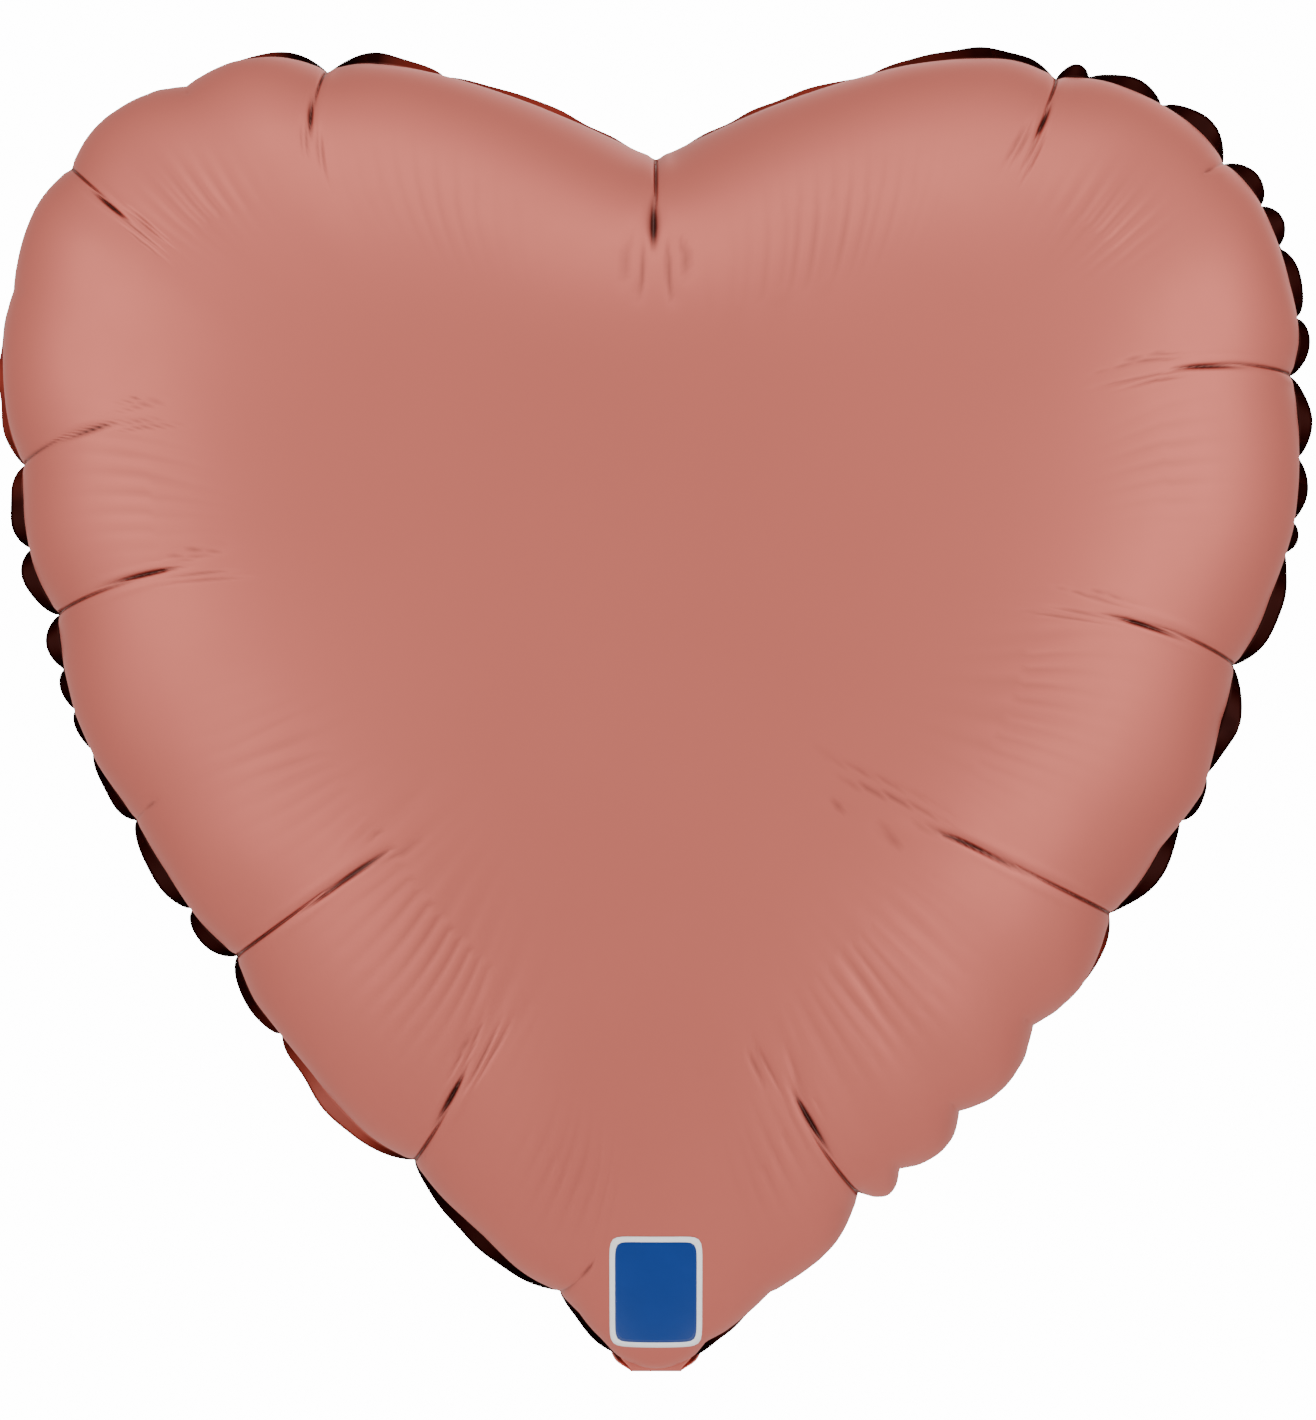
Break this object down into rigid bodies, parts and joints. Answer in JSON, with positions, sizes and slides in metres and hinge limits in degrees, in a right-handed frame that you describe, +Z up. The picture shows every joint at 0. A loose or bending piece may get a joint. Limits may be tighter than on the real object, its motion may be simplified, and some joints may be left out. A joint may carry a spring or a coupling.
{
  "type": "heart-shaped foil balloon",
  "caption": "Inflated heart-shaped foil balloon with wrinkled heat-sealed rim, self-sealing film valve and a filling tail folded up behind its tip.",
  "frame": {"origin": "the neck at the heart's lowest point, on the seam plane, where the tail folds back and a ribbon is tied", "axes": "+Z up through the notch between the lobes; the front, with the printed patch, faces -Y; +X is to the right seen from the front"},
  "size_m": [0.3802, 0.1682, 0.3827],
  "materials": {
    "foil_front": "satin metallised film, dusty rose-gold lacquer",
    "foil_back": "satin metallised film, dusty rose-gold lacquer",
    "seal": "heat-sealed film margin, same lacquer, seen dark where it stands edge-on",
    "ink_white": "printed white ink",
    "ink_blue": "printed blue ink",
    "clear_film": "clear polyethylene film",
    "release_ink": "heat-resistant release ink"
  },
  "bodies": {
    "envelope": {"front_panel": "foil_front", "back_panel": "foil_back", "rim_seal": "seal", "patch_border": "ink_white", "patch_face": "ink_blue", "valve_front_film": "clear_film", "valve_back_root": "clear_film", "valve_side_welds": "clear_film", "valve_release_ink": "release_ink", "neck_fold": "foil_back"},
    "valve_flap": {"valve_back_film": "clear_film"},
    "tail": {"tail_front_ply": "foil_front", "tail_back_ply": "foil_back", "tail_seals": "seal", "tail_valve_front_film": "clear_film", "tail_valve_back_film": "clear_film"}
  },
  "joints": [
    {"name": "tail_fold", "type": "hinge", "parent": "envelope", "child": "tail", "pos_m": [0, 0, -0.002], "axis": [1, 0, 0], "range_deg": [-178, 0], "deforming": ["neck_fold"]},
    {"name": "valve_open", "type": "slide", "parent": "envelope", "child": "valve_flap", "axis": [0, 1, 0], "range_m": [0, 0.005], "stiffness_N_per_m": 1, "springref_m": -0.002}
  ]
}
